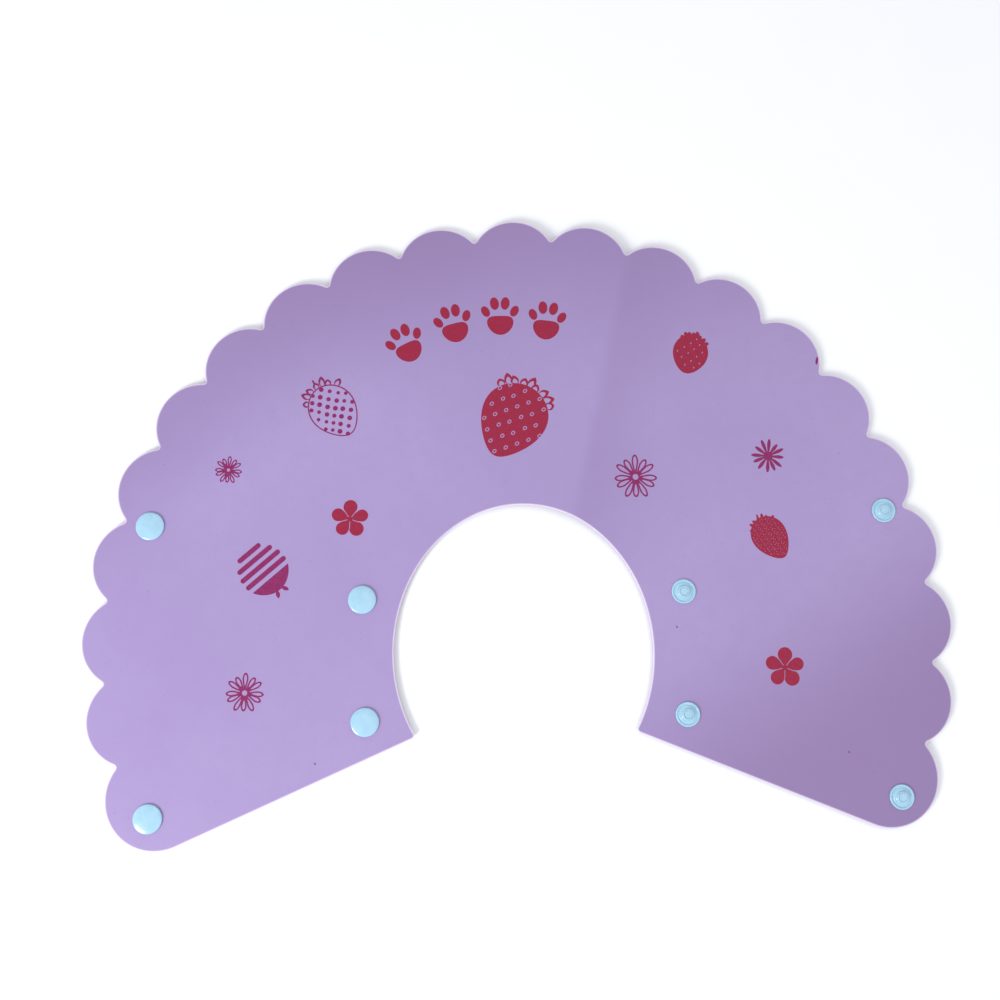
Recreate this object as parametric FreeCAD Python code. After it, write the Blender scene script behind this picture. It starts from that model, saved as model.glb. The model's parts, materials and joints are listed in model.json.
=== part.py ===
"""Elizabethan collar, laid flat: a scalloped plastic sheet with two columns of snap fasteners at each end.

Units are millimetres. +Z is up and +Y runs from the neck opening to the middle of the scalloped rim. The
origin is on the surface that the collar lies on, under the middle of its outline. The sheet is one springy
piece that curls into a cone, so it is made as seventeen sectors, which turn on the fold lines between them.
"""

import FreeCAD
import Part
import math
import os

from FreeCAD import Vector

# Sheet. Lengths are measured from the neck point, where every fold line would meet.
SHEET_THICKNESS = 0.6
LOBE_PITCH = 11.19           # degrees from one lobe of the rim to the next
LOBE_COUNT = 19              # whole lobes, before the two that end the rim
LOBE_RADIUS = 20.0
LOBE_CENTRE_DISTANCE = 172.5  # from the rim's centre
RIM_CENTRE_Y = 7.8
VALLEY_FILLET = 1.2
END_LOBE_ANGLE = 112.3       # degrees from +Y
END_LOBE_CENTRE_DISTANCE = 171.5
END_LOBE_RADIUS = 21.8
END_EDGE_SLOPE = 22.7        # degrees between an end edge and X
NECK_HALF_WIDTH = 57.4
NECK_HALF_HEIGHT = 65.3
NECK_CENTRE_Y = 0.9
NECK_CORNER_FILLET = 1.5

# Fold lines
FOLDS_PER_SIDE = 8
FOLD_GAP = 0.2
FACETS_PER_TURN = 13         # sectors in one whole turn of the closed cone
LEFT_STEP_FOLD = 5           # the fold where the left end steps inside the right one
RIGHT_STEP_FOLD = 4          # the fold where the right end steps outside the left one
LEFT_STEP = 3.9
RIGHT_STEP = 1.6

# Snap fasteners: angle from +Y in degrees, and distance from the neck point at each end of the sheet
SNAP_ANGLES = {
    "end_neck": 111.6,
    "end_rim": 112.0,
    "second_neck": 70.4,
    "second_rim": 70.0,
}
LEFT_SNAP_DISTANCES = {"neck": 75.3, "rim": 174.8}
RIGHT_SNAP_DISTANCES = {"neck": 76.5, "rim": 176.2}
CAP_RADIUS = 6.2
CAP_RIM = 0.7
CAP_CROWN = 1.5
EDGE_ROUND = 0.25
FASTENER_RADIUS = 5.4        # the flange of a socket or a stud
FLANGE_THICKNESS = 0.8
SOCKET_HEIGHT = 2.0
SOCKET_COLLAR_RADIUS = 4.3
SOCKET_BASE = 0.5
SOCKET_BORE_RADIUS = 2.65
SOCKET_GROOVE_RADIUS = 2.9   # the groove at the foot of the bore
SOCKET_GROOVE = 0.3
STUD_HEIGHT = 1.8
STUD_RADIUS = 2.6
STUD_DISH_RADIUS = 1.9
STUD_DISH_DEPTH = 0.4
PRONG_RADIUS = 1.2
PRONG_HOLE_RADIUS = 1.25
PRONG_HEAD_RADIUS = 1.8
PRONG_HEAD = 0.3

# Worked out from the dimensions above
SECTOR_ANGLE = (SNAP_ANGLES["end_rim"] + SNAP_ANGLES["second_rim"]) / FACETS_PER_TURN
HALF_SECTOR = math.radians(SECTOR_ANGLE / 2)
RIDGE_LEAN = math.asin(math.sin(HALF_SECTOR) / math.sin(math.pi / FACETS_PER_TURN))
FACET_LEAN = math.acos(math.cos(RIDGE_LEAN) / math.cos(HALF_SECTOR))
TURN_PER_FACET = 2 * math.pi / FACETS_PER_TURN
CLOSED_FOLD = math.acos(
    math.sin(FACET_LEAN) ** 2 + math.cos(FACET_LEAN) ** 2 * math.cos(TURN_PER_FACET)
)
UNDERSIDE = SOCKET_HEIGHT
TOP = UNDERSIDE + SHEET_THICKNESS
BEYOND = 320.0               # longer than the sheet, for the wedges that cut it
CUTTER_HEIGHT = TOP + 1.0    # past the top of the sheet, for the same wedges and the prongs' holes
END_SECTOR_ANGLE = 45.0      # wide enough to take in all of an end beyond its last fold


def direction(angle):
    """Unit vector in the sheet's plane, angle degrees from +Y towards +X."""
    turn = math.radians(angle)
    return Vector(math.sin(turn), math.cos(turn), 0)


def across(angle):
    """Unit vector in the sheet's plane, square to direction(angle), towards larger angles."""
    turn = math.radians(angle)
    return Vector(math.cos(turn), -math.sin(turn), 0)


def mirrored(point):
    return Vector(-point.x, point.y, point.z)


# ---------------------------------------------------------------- outline of the sheet

RIM_CENTRE = Vector(0, RIM_CENTRE_Y, 0)


def rim_lobes():
    """(centre, radius) of each lobe, from the left end of the rim to the right end."""
    half = LOBE_COUNT // 2
    lobes = []
    for index in range(-half, half + 1):
        centre = RIM_CENTRE + direction(index * LOBE_PITCH) * LOBE_CENTRE_DISTANCE
        lobes.append((centre, LOBE_RADIUS))
    last = RIM_CENTRE + direction(END_LOBE_ANGLE) * END_LOBE_CENTRE_DISTANCE
    return [(mirrored(last), END_LOBE_RADIUS)] + lobes + [(last, END_LOBE_RADIUS)]


def outer_crossing(lobe, other):
    """The point, away from the rim's centre, where two neighbouring lobes cross."""
    (centre, radius), (other_centre, other_radius) = lobe, other
    span = other_centre - centre
    along = (span.Length ** 2 + radius ** 2 - other_radius ** 2) / (2 * span.Length)
    unit = span / span.Length
    foot = centre + unit * along
    side = Vector(-unit.y, unit.x, 0) * math.sqrt(radius ** 2 - along ** 2)
    return max(foot + side, foot - side, key=lambda point: (point - RIM_CENTRE).Length)


def right_end_edge():
    """The points where the right end edge leaves the last lobe, and where it meets the neck opening."""
    centre, radius = rim_lobes()[-1]
    slope = math.radians(END_EDGE_SLOPE)
    start = centre - Vector(math.sin(slope), math.cos(slope), 0) * radius
    run = Vector(-math.cos(slope), math.sin(slope), 0)
    # Distance along the edge to the neck ellipse, as the near root of a quadratic
    run_x = run.x / NECK_HALF_WIDTH
    run_y = run.y / NECK_HALF_HEIGHT
    start_x = start.x / NECK_HALF_WIDTH
    start_y = (start.y - NECK_CENTRE_Y) / NECK_HALF_HEIGHT
    square = run_x ** 2 + run_y ** 2
    cross = run_x * start_x + run_y * start_y
    rest = start_x ** 2 + start_y ** 2 - 1
    distance = (-cross - math.sqrt(cross ** 2 - square * rest)) / square
    return start, start + run * distance


def sheet_outline():
    lobes = rim_lobes()
    tangent, corner = right_end_edge()
    valleys = [outer_crossing(lobe, other) for lobe, other in zip(lobes, lobes[1:])]
    ends = [mirrored(tangent)] + valleys + [tangent]
    edges = []
    for (centre, radius), start, end in zip(lobes, ends, ends[1:]):
        outward = (start + end) * 0.5 - RIM_CENTRE
        middle = centre + outward * (radius / outward.Length)
        edges.append(Part.Arc(start, middle, end).toShape())
    neck_centre = Vector(0, NECK_CENTRE_Y, 0)
    neck = Part.Ellipse(
        neck_centre + Vector(0, NECK_HALF_HEIGHT, 0),
        neck_centre + Vector(NECK_HALF_WIDTH, 0, 0),
        neck_centre,
    )
    first = neck.parameter(corner)
    last = neck.parameter(mirrored(corner))
    # The arc that passes over the top of the opening, not the short one between the ends
    over = neck.toShape(first, last)
    if over.CenterOfMass.y < NECK_CENTRE_Y:
        over = neck.toShape(last, first)
    edges.append(Part.LineSegment(tangent, corner).toShape())
    edges.append(over)
    edges.append(Part.LineSegment(mirrored(corner), mirrored(tangent)).toShape())
    return Part.Wire(Part.__sortEdges__(edges))


def upright_edges_at(solid, points):
    """The solid's upright edges that stand on the given points."""
    found = []
    for edge in solid.Edges:
        middle = edge.CenterOfMass
        foot = Vector(middle.x, middle.y, 0)
        upright = edge.BoundBox.ZLength > SHEET_THICKNESS / 2
        if upright and min((foot - point).Length for point in points) < SHEET_THICKNESS / 2:
            found.append(edge)
    return found


def whole_sheet():
    """The sheet in one piece, with rounded valleys and neck corners, and a hole for each fastener's prong."""
    sheet = Part.Face(sheet_outline()).extrude(Vector(0, 0, SHEET_THICKNESS))
    lobes = rim_lobes()
    corner = right_end_edge()[1]
    valleys = [outer_crossing(lobe, other) for lobe, other in zip(lobes, lobes[1:])]
    sheet = sheet.makeFillet(VALLEY_FILLET, upright_edges_at(sheet, valleys))
    sheet = sheet.makeFillet(NECK_CORNER_FILLET, upright_edges_at(sheet, [corner, mirrored(corner)]))
    sheet.translate(Vector(0, 0, UNDERSIDE))
    for side in (-1, 1):
        for place in SNAP_ANGLES:
            hole = Part.makeCylinder(PRONG_HOLE_RADIUS, CUTTER_HEIGHT, snap_foot(side, place))
            sheet = sheet.cut(hole)
    return sheet


# ---------------------------------------------------------------- sectors and fold lines

def fold_lines(side):
    """(point, angle) of each fold line on one side, from the middle of the sheet outwards.

    Every fold closes through the same angle. One fold on each side is set off from the fan of the others,
    and the folds after it fan out from a point moved along it, so that the closed ends lie parallel, one
    inside the other, as far apart as the two steps add up to.
    """
    step_fold = LEFT_STEP_FOLD if side < 0 else RIGHT_STEP_FOLD
    step = -LEFT_STEP if side < 0 else RIGHT_STEP
    fan = Vector(0, 0, TOP)
    lines = []
    for index in range(1, FOLDS_PER_SIDE + 1):
        angle = side * (index - 0.5) * SECTOR_ANGLE
        point = fan
        if index == step_fold:
            point = fan + across(angle) * (side * step / math.sin(CLOSED_FOLD))
            fan = fan - direction(angle) * (step * math.cos(RIDGE_LEAN) / math.sin(FACET_LEAN))
        lines.append((point, angle))
    return lines


def wedge(line, next_line):
    """A three-sided prism between two fold lines, half a gap clear of each. line has the smaller angle."""
    half_gap = FOLD_GAP / 2
    (point, angle), (next_point, next_angle) = line, next_line
    point = point + across(angle) * half_gap
    next_point = next_point - across(next_angle) * half_gap
    # The tip of the wedge, where the two lines cross
    turn = math.sin(math.radians(next_angle - angle))
    distance = (point - next_point).dot(across(next_angle)) / turn
    tip = point + direction(angle) * distance
    tip = Vector(tip.x, tip.y, 0)
    ends = [tip + direction(angle) * BEYOND, tip + direction(next_angle) * BEYOND]
    outline = Part.makePolygon([tip, ends[0], ends[1], tip])
    return Part.Face(outline).extrude(Vector(0, 0, CUTTER_HEIGHT))


def sectors():
    """The sheet's sectors by node name, from the left end to the right end."""
    sheet = whole_sheet()
    left = fold_lines(-1)
    right = fold_lines(1)
    left_limit = (left[-1][0], left[-1][1] - END_SECTOR_ANGLE)
    right_limit = (right[-1][0], right[-1][1] + END_SECTOR_ANGLE)
    lines = [left_limit] + left[::-1] + right + [right_limit]
    numbers = range(-FOLDS_PER_SIDE, FOLDS_PER_SIDE + 1)
    made = {}
    for number, line, next_line in zip(numbers, lines, lines[1:]):
        if number == 0:
            name = "sheet_middle"
        else:
            name = "sheet_%s_%d" % ("left" if number < 0 else "right", abs(number))
        made[name] = sheet.common(wedge(line, next_line))
    return made


# ---------------------------------------------------------------- snap fasteners

def turned(points):
    """A solid of revolution about Z from (radius, height) points, in order round its section."""
    corners = [Vector(radius, 0, height) for radius, height in points]
    section = Part.Face(Part.makePolygon(corners + corners[:1]))
    return section.revolve(Vector(0, 0, 0), Vector(0, 0, 1), 360)


def cap(prong_length):
    """A domed cap with its prong, which points down from Z 0 and ends in the head that was pressed flat."""
    head = -prong_length
    edge = CAP_RADIUS - EDGE_ROUND
    rise = CAP_CROWN - CAP_RIM
    dome_radius = (edge ** 2 + rise ** 2) / (2 * rise)
    dome_centre = CAP_CROWN - dome_radius
    crown = Part.Arc(
        Vector(0, 0, CAP_CROWN),
        Vector(edge / 2, 0, dome_centre + math.sqrt(dome_radius ** 2 - (edge / 2) ** 2)),
        Vector(edge, 0, CAP_RIM),
    )
    points = [
        (edge, CAP_RIM),
        (CAP_RADIUS, CAP_RIM - EDGE_ROUND),
        (CAP_RADIUS, EDGE_ROUND),
        (edge, 0),
        (PRONG_RADIUS, 0),
        (PRONG_RADIUS, head),
        (PRONG_HEAD_RADIUS, head),
        (PRONG_HEAD_RADIUS, head - PRONG_HEAD),
        (0, head - PRONG_HEAD),
        (0, CAP_CROWN),
    ]
    corners = [Vector(radius, 0, height) for radius, height in points]
    wire = Part.Wire([crown.toShape()] + Part.makePolygon(corners).Edges)
    return Part.Face(wire).revolve(Vector(0, 0, 0), Vector(0, 0, 1), 360)


def socket():
    """A socket that hangs below Z 0, with its mouth downwards and the prong's hole in its base."""
    mouth = -SOCKET_HEIGHT
    return turned([
        (PRONG_HOLE_RADIUS, 0),
        (FASTENER_RADIUS, 0),
        (FASTENER_RADIUS, EDGE_ROUND - FLANGE_THICKNESS),
        (FASTENER_RADIUS - EDGE_ROUND, -FLANGE_THICKNESS),
        (SOCKET_COLLAR_RADIUS, -FLANGE_THICKNESS),
        (SOCKET_COLLAR_RADIUS, mouth + EDGE_ROUND),
        (SOCKET_COLLAR_RADIUS - EDGE_ROUND, mouth),
        (SOCKET_BORE_RADIUS + EDGE_ROUND, mouth),
        (SOCKET_BORE_RADIUS, mouth + EDGE_ROUND),
        (SOCKET_BORE_RADIUS, -SOCKET_BASE - SOCKET_GROOVE),
        (SOCKET_GROOVE_RADIUS, -SOCKET_BASE - SOCKET_GROOVE),
        (SOCKET_GROOVE_RADIUS, -SOCKET_BASE),
        (PRONG_HOLE_RADIUS, -SOCKET_BASE),
    ])


def stud():
    """A stud that stands on Z 0, with a dish in its tip for the head of the prong."""
    return turned([
        (PRONG_HOLE_RADIUS, 0),
        (FASTENER_RADIUS, 0),
        (FASTENER_RADIUS, FLANGE_THICKNESS - EDGE_ROUND),
        (FASTENER_RADIUS - EDGE_ROUND, FLANGE_THICKNESS),
        (STUD_RADIUS, FLANGE_THICKNESS),
        (STUD_RADIUS, STUD_HEIGHT - EDGE_ROUND),
        (STUD_RADIUS - EDGE_ROUND, STUD_HEIGHT),
        (STUD_DISH_RADIUS, STUD_HEIGHT),
        (STUD_DISH_RADIUS, STUD_HEIGHT - STUD_DISH_DEPTH),
        (PRONG_HOLE_RADIUS, STUD_HEIGHT - STUD_DISH_DEPTH),
    ])


def snap_foot(side, place):
    """The point under a snap's centre. side is -1 at the left end and 1 at the right end."""
    distances = LEFT_SNAP_DISTANCES if side < 0 else RIGHT_SNAP_DISTANCES
    return direction(side * SNAP_ANGLES[place]) * distances[place.split("_")[1]]


def fasteners():
    """Caps, sockets and studs by node name. A left cap is on top, and a right one is underneath."""
    made = {}
    for place in SNAP_ANGLES:
        left = snap_foot(-1, place)
        right = snap_foot(1, place)
        left_cap = cap(SHEET_THICKNESS + SOCKET_BASE)
        left_cap.translate(left + Vector(0, 0, TOP))
        right_cap = cap(SHEET_THICKNESS + STUD_HEIGHT - STUD_DISH_DEPTH)
        right_cap.rotate(Vector(0, 0, 0), Vector(1, 0, 0), 180)
        right_cap.translate(right + Vector(0, 0, UNDERSIDE))
        left_socket = socket()
        left_socket.translate(left + Vector(0, 0, UNDERSIDE))
        right_stud = stud()
        right_stud.translate(right + Vector(0, 0, TOP))
        made["cap_left_" + place] = left_cap
        made["cap_right_" + place] = right_cap
        made["socket_" + place] = left_socket
        made["stud_" + place] = right_stud
    return made


# ---------------------------------------------------------------- files

def origin():
    """The point of the neck point's frame that the collar's own origin stands on."""
    top = RIM_CENTRE_Y + LOBE_CENTRE_DISTANCE + LOBE_RADIUS
    last_centre, last_radius = rim_lobes()[-1]
    return Vector(0, (top + last_centre.y - last_radius) / 2, 0)


def main():
    os.makedirs("parts", exist_ok=True)
    shift = -origin()
    nodes = {**sectors(), **fasteners()}
    for name, shape in nodes.items():
        solid = shape.Solids[0]
        solid.translate(shift)
        if len(shape.Solids) != 1 or not solid.isValid():
            raise SystemExit("%s is not one sound solid" % name)
        solid.exportStep("parts/%s.step" % name)
        print("%-20s %9.1f mm3" % (name, solid.Volume))
    print("fold limit %.2f degrees" % math.degrees(CLOSED_FOLD))
    for side in (-1, 1):
        for number, (point, angle) in enumerate(fold_lines(side), 1):
            place = point + shift
            print("fold %d at %.3f %.3f %.3f, %.1f degrees" % (side * number, *place, angle))


main()
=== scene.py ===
import json
import math

import bpy
import numpy as np
from mathutils import Matrix, Vector
from mathutils.geometry import delaunay_2d_cdt

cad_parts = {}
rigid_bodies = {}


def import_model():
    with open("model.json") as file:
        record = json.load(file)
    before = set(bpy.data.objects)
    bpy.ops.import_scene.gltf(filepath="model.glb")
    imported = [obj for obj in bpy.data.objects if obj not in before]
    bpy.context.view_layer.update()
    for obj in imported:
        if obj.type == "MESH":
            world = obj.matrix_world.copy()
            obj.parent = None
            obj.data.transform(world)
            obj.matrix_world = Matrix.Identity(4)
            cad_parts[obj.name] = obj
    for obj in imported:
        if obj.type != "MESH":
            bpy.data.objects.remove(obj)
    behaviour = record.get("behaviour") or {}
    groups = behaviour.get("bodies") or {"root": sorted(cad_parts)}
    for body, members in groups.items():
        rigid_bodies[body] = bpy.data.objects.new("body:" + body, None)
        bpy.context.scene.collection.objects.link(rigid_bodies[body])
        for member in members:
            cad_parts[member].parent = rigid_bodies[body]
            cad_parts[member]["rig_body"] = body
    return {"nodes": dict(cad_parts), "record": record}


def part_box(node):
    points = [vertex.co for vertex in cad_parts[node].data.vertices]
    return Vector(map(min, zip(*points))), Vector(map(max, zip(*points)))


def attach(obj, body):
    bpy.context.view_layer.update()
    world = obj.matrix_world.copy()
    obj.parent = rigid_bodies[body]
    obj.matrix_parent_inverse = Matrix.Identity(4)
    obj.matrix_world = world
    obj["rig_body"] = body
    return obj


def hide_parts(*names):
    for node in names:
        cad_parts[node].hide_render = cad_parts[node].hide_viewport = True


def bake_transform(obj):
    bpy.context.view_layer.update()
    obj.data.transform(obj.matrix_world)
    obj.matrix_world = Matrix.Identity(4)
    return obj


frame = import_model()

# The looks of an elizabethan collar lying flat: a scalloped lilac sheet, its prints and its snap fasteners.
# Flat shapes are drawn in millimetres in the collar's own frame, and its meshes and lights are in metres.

MM = 0.001
MIRROR = np.array([-1, 1])
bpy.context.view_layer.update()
JOINTS = {joint["name"]: joint for joint in frame["record"]["behaviour"]["joints"]}
SHEET_LOW, SHEET_HIGH = (corner.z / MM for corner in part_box("sheet_middle"))

NECK_SIDE = np.array([0.0, -60.0])  # about the middle of the neck opening

# Outline of the sheet. Lengths are in millimetres, from the neck point, where the fold lines meet.
LOBE_PITCH = 11.19  # degrees
LOBES_PER_SIDE = 9
LOBE_RADIUS = 20.0
LOBE_CENTRE_DISTANCE = 172.5
RIM_CENTRE_Y = 7.8
VALLEY_FILLET = 1.2
END_LOBE_ANGLE = 112.3  # degrees from +Y
END_LOBE_CENTRE_DISTANCE = 171.5
END_LOBE_RADIUS = 21.8
END_EDGE_SLOPE = 22.7  # degrees between an end edge and X
NECK_HALF_WIDTH = 57.4
NECK_HALF_HEIGHT = 65.3
NECK_CENTRE_Y = 0.9
NECK_CORNER_FILLET = 1.5
PRONG_HOLE = 1.25  # radius

# Mesh of the sheet
RIM_STEP = 1.5
NECK_STEP = 0.8
GRID_STEP = 2.2
GRID_CLEARANCE = 1.21  # from the edge and the cuts to the nearest filling point
HOLE_CLEARANCE = 0.8  # the same from a prong's hole
HOLE_SIDES = 16
EDGE_ROUND = 0.13
EDGE_HIGHLIGHT_LEAST = 0.75  # share of the painted edge highlight where the rounding starts. It is 1 on the cut face.
EDGE_BAND = 0.7  # the width beside the edge where the painted highlight on the cut edge fades out
BLEND_REACH = 7.0  # how far a fold's bend reaches to each side of its line
UNEVEN_RATIO = 2.5  # a bend's longer side is at most this many times its shorter one,
UNEVEN_SPARE = 2.5  # and this much more
CAP_CLEARANCE = 6.3  # the flat ground that a snap needs round its centre
CUT_CLEARANCE = 0.1
SHARP = math.radians(40)  # edges that turn more than this stay sharp
MERGE_DISTANCE = 1e-5  # closer than this counts as the same place
LEAST_AREA = 1e-6  # twice a triangle's area, below which it is dropped
CHUNK = 2000  # points handled at a time, to save memory
FAR_ROUND = 60.0  # degrees from a cut, past which the angle alone tells the side

# Prints
INK = 0.05  # how far the ink stands proud
INK_DEPTH = 0.03  # how far it reaches into the sheet's skin
INK_GRID_STEP = 1.6
INK_GRID_CLEARANCE = 0.56
LINE = 0.55  # width of a drawn line
CROWN_SPREAD = 60  # degrees that a berry's outermost leaves lean outwards

# Slow waves in the sheet, and the soft crease where it was folded once
CREASE_RIM = np.array([53.6, 123.0])
CREASE_NECK = np.array([24.7, 2.7])
CREASE_HEIGHT = 1.5
CREASE_FALL_LEFT = 42.0
CREASE_FALL_RIGHT = 17.0
CREASE_ROUND = 3.0
WAVE_HEIGHT = 0.35
WAVE_ALONG = 96.0
WAVE_ACROSS = 131.0
WAVE_START = 0.6  # radians
WAVY_UNTIL = 34.0  # degrees from +Y, where the waves start to die out
FLAT_FROM = 56.0  # and where they have died out

# Snap fasteners
CAP_RADIUS = 6.2
CAP_CROWN = 1.5
CAP_RIM = 0.62
CAP_FOOT = 0.02  # how far the cap's underside is lifted off the sheet
PRONG_RADIUS = 1.2
PRONG_HEAD_RADIUS = 1.8
PRONG_HEAD = 0.3
FLANGE_RADIUS = 5.4
FLANGE = 0.8
SOCKET_HEIGHT = 2.0
SOCKET_COLLAR_RADIUS = 4.3
SOCKET_BORE_RADIUS = 2.65
SOCKET_GROOVE_RADIUS = 2.9
SOCKET_GROOVE_TOP = 0.8
SOCKET_BASE = 0.5
STUD_HEIGHT = 1.8
STUD_RADIUS = 2.6
STUD_NECK_RADIUS = 2.4
DISH_RADIUS = 1.9
DISH_DEPTH = 0.4
RING_WIDTH = 0.75  # of the flange's raised rim, and of the groove inside it
RING_FLOOR = 0.4

# Painted shade on the film: how much it darkens, and where, in metres
CREASE_PAINTED_SHADE = 0.30
CREASE_SHADE_EDGE = 0.0035  # half the width over which it sets in
CREASE_SHADE_REACH = 0.040
RIM_PAINTED_SHADES = (  # direction, where along it the painted shade starts to darken the film and where it stops, depth
    ((0.0, 1.0, 0.0), 0.045, 0.150, 0.75),
    ((0.50, -0.87, 0.0), 0.075, 0.165, 0.95),
    ((-0.60, 0.80, 0.0), 0.085, 0.140, 0.50),
)

# Colours, as sRGB
FILM = (0.614, 0.536, 0.722)
FILM_PALE = (0.638, 0.563, 0.746)
FILM_HAZE = (0.602, 0.522, 0.706)
# painted shade: the darker film colour that stands in for shade
FILM_PAINTED_SHADE = (0.545, 0.452, 0.630)
FILM_SPECK = (0.40, 0.31, 0.50)
# painted highlight along the sheet's cut edge
FILM_EDGE_HIGHLIGHT = (0.93, 0.87, 0.95)
RED = (0.565, 0.075, 0.21)
RED_THIN = (0.60, 0.15, 0.29)
PLUM = (0.50, 0.09, 0.33)
PLUM_THIN = (0.55, 0.20, 0.42)
SNAP_BLUE = (0.605, 0.765, 0.850)
SNAP_BLUE_PALE = (0.640, 0.790, 0.870)
FLOOR = (0.955, 0.955, 0.96)
FLOOR_PALE = (0.965, 0.965, 0.97)

# Floor, lights and camera, in metres
FLOOR_HALF = 3.0
CAMERA_TURNS = (-0.1479, 0.0345, 0.0248)  # radians about X, Y and Z
CAMERA_SHIFT = (0.01064, -0.06764)  # across and up in the view, to the neck point
CAMERA_DISTANCE = 0.44048
CAMERA_LENS = 36.0  # millimetres, as wide as the sensor
LIGHTS = (  # name, place, width, power in watts, colour
    ("key", (-0.62, -0.56, 0.56), 0.40, 6.6, (0.96, 0.98, 1.0)),
    ("fill", (0.42, 0.0, 1.15), 1.4, 2.4, (1.0, 0.98, 0.97)),
)
WORLD_COLOUR = (0.93, 0.95, 1.0, 1.0)
WORLD_STRENGTH = 0.80


def heading(angle):
    """Unit vector, angle degrees from +Y towards +X."""
    turn = math.radians(angle)
    return np.array([math.sin(turn), math.cos(turn)])


def bearing(vector):
    """The angle, in degrees from +Y towards +X, that a vector points at."""
    return math.degrees(math.atan2(vector[0], vector[1]))


def crossing(point, line, other, other_line):
    """The point where two lines cross, each given by a point and a direction."""
    shares = np.linalg.solve(np.array([line, -other_line]).T, other - point)
    return point + line * shares[0]


def fold_line(name):
    """A point on a fold line, and its direction away from the neck opening."""
    point = np.array(JOINTS[name]["pos_m"][:2]) / MM
    line = np.array(JOINTS[name]["axis"][:2])
    line = line / np.linalg.norm(line)
    return point, line if line @ (point - NECK_SIDE) > 0 else -line


def smooth(low, high, value):
    """0 below low, 1 above high, and a smooth step between them."""
    share = np.clip((value - low) / (high - low), 0, 1)
    return share * share * (3 - 2 * share)


# The neck point, where the first fold lines on both sides meet
NECK_POINT = crossing(*fold_line("fold_left_1"), *fold_line("fold_right_1"))


# ---- outline of the sheet

def sweep(start, end, way):
    """end, some whole turns on, so that going to it from start turns clockwise (way 1) or back (way -1)."""
    return start + way * (((end - start) * way) % 360)


def arc(centre, radius, start, end, outward=1):
    """Points and outward normals along an arc, without its last point."""
    count = max(3, math.ceil(abs(math.radians(end - start)) * radius / RIM_STEP))
    turns = np.radians(np.linspace(start, end, count, endpoint=False))
    normals = np.column_stack([np.sin(turns), np.cos(turns)])
    return centre + normals * radius, normals * outward


def run(start, end, normal):
    """Points and normals along a straight edge, without its last point."""
    count = math.ceil(np.linalg.norm(end - start) / RIM_STEP)
    shares = np.linspace(0, 1, count, endpoint=False)[:, None]
    return start + (end - start) * shares, np.tile(normal, (count, 1))


def far_crossing(centre, radius, other, other_radius, away_from):
    """Where two circles cross, at the crossing that is further from a point."""
    span = other - centre
    length = np.linalg.norm(span)
    along = (length ** 2 + radius ** 2 - other_radius ** 2) / (2 * length)
    foot = centre + span / length * along
    side = np.array([-span[1], span[0]]) / length * math.sqrt(radius ** 2 - along ** 2)
    return max(foot + side, foot - side, key=lambda point: np.linalg.norm(point - away_from))


def neck_point_at(turn, offset=0.0):
    """A point of the neck opening's ellipse moved into the sheet, and the unit vector into the sheet."""
    point = np.array([NECK_HALF_WIDTH * math.sin(turn), NECK_HALF_HEIGHT * math.cos(turn)])
    inward = point / np.array([NECK_HALF_WIDTH ** 2, NECK_HALF_HEIGHT ** 2])
    inward = inward / np.linalg.norm(inward)
    centre = NECK_POINT + np.array([0, NECK_CENTRE_Y])
    return centre + point + inward * offset, inward


def neck_corner(edge_start, edge_normal):
    """The turn round the neck ellipse where the rounded corner ends, and the centre of its rounding."""
    low, high = math.radians(90), math.radians(150)
    while high - low > 1e-9:
        middle = (low + high) / 2
        centre, _ = neck_point_at(middle, NECK_CORNER_FILLET)
        if (centre - edge_start) @ edge_normal < -NECK_CORNER_FILLET:
            low = middle
        else:
            high = middle
    return low, neck_point_at(low, NECK_CORNER_FILLET)[0]


def half_outline():
    """The right half of the outline, clockwise from the top of the middle lobe to the top of the neck.

    Gives its points, their outward normals, and the number of the neck's first point past its corner.
    """
    rim_centre = NECK_POINT + np.array([0, RIM_CENTRE_Y])
    lobes = [
        (rim_centre + heading(index * LOBE_PITCH) * LOBE_CENTRE_DISTANCE, LOBE_RADIUS)
        for index in range(LOBES_PER_SIDE + 1)
    ]
    lobes.append((rim_centre + heading(END_LOBE_ANGLE) * END_LOBE_CENTRE_DISTANCE, END_LOBE_RADIUS))
    parts = []
    start = 0.0
    for (centre, radius), (other, other_radius) in zip(lobes, lobes[1:]):
        reach = radius + VALLEY_FILLET
        valley = far_crossing(centre, reach, other, other_radius + VALLEY_FILLET, rim_centre)
        parts.append(arc(centre, radius, start, sweep(start, bearing(valley - centre), 1)))
        first = bearing(centre - valley)
        last = sweep(first, bearing(other - valley), -1)
        parts.append(arc(valley, VALLEY_FILLET, first, last, outward=-1))
        start = bearing(valley - other)
    edge_bearing = 180 + END_EDGE_SLOPE
    edge_normal = heading(edge_bearing)
    centre, radius = lobes[-1]
    parts.append(arc(centre, radius, start, sweep(start, edge_bearing, 1)))
    edge_start = centre + edge_normal * radius
    turn, corner = neck_corner(edge_start, edge_normal)
    parts.append(run(edge_start, corner + edge_normal * NECK_CORNER_FILLET, edge_normal))
    last = sweep(edge_bearing, bearing(-neck_point_at(turn)[1]), 1)
    parts.append(arc(corner, NECK_CORNER_FILLET, edge_bearing, last))
    count = math.ceil(turn * NECK_HALF_HEIGHT / NECK_STEP)
    neck = [neck_point_at(turn * (1 - index / count)) for index in range(count + 1)]
    parts.append((np.array([point for point, _ in neck]), np.array([-inward for _, inward in neck])))
    points = np.vstack([points for points, _ in parts])
    normals = np.vstack([normals for _, normals in parts])
    return points, normals, len(points) - count


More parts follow.
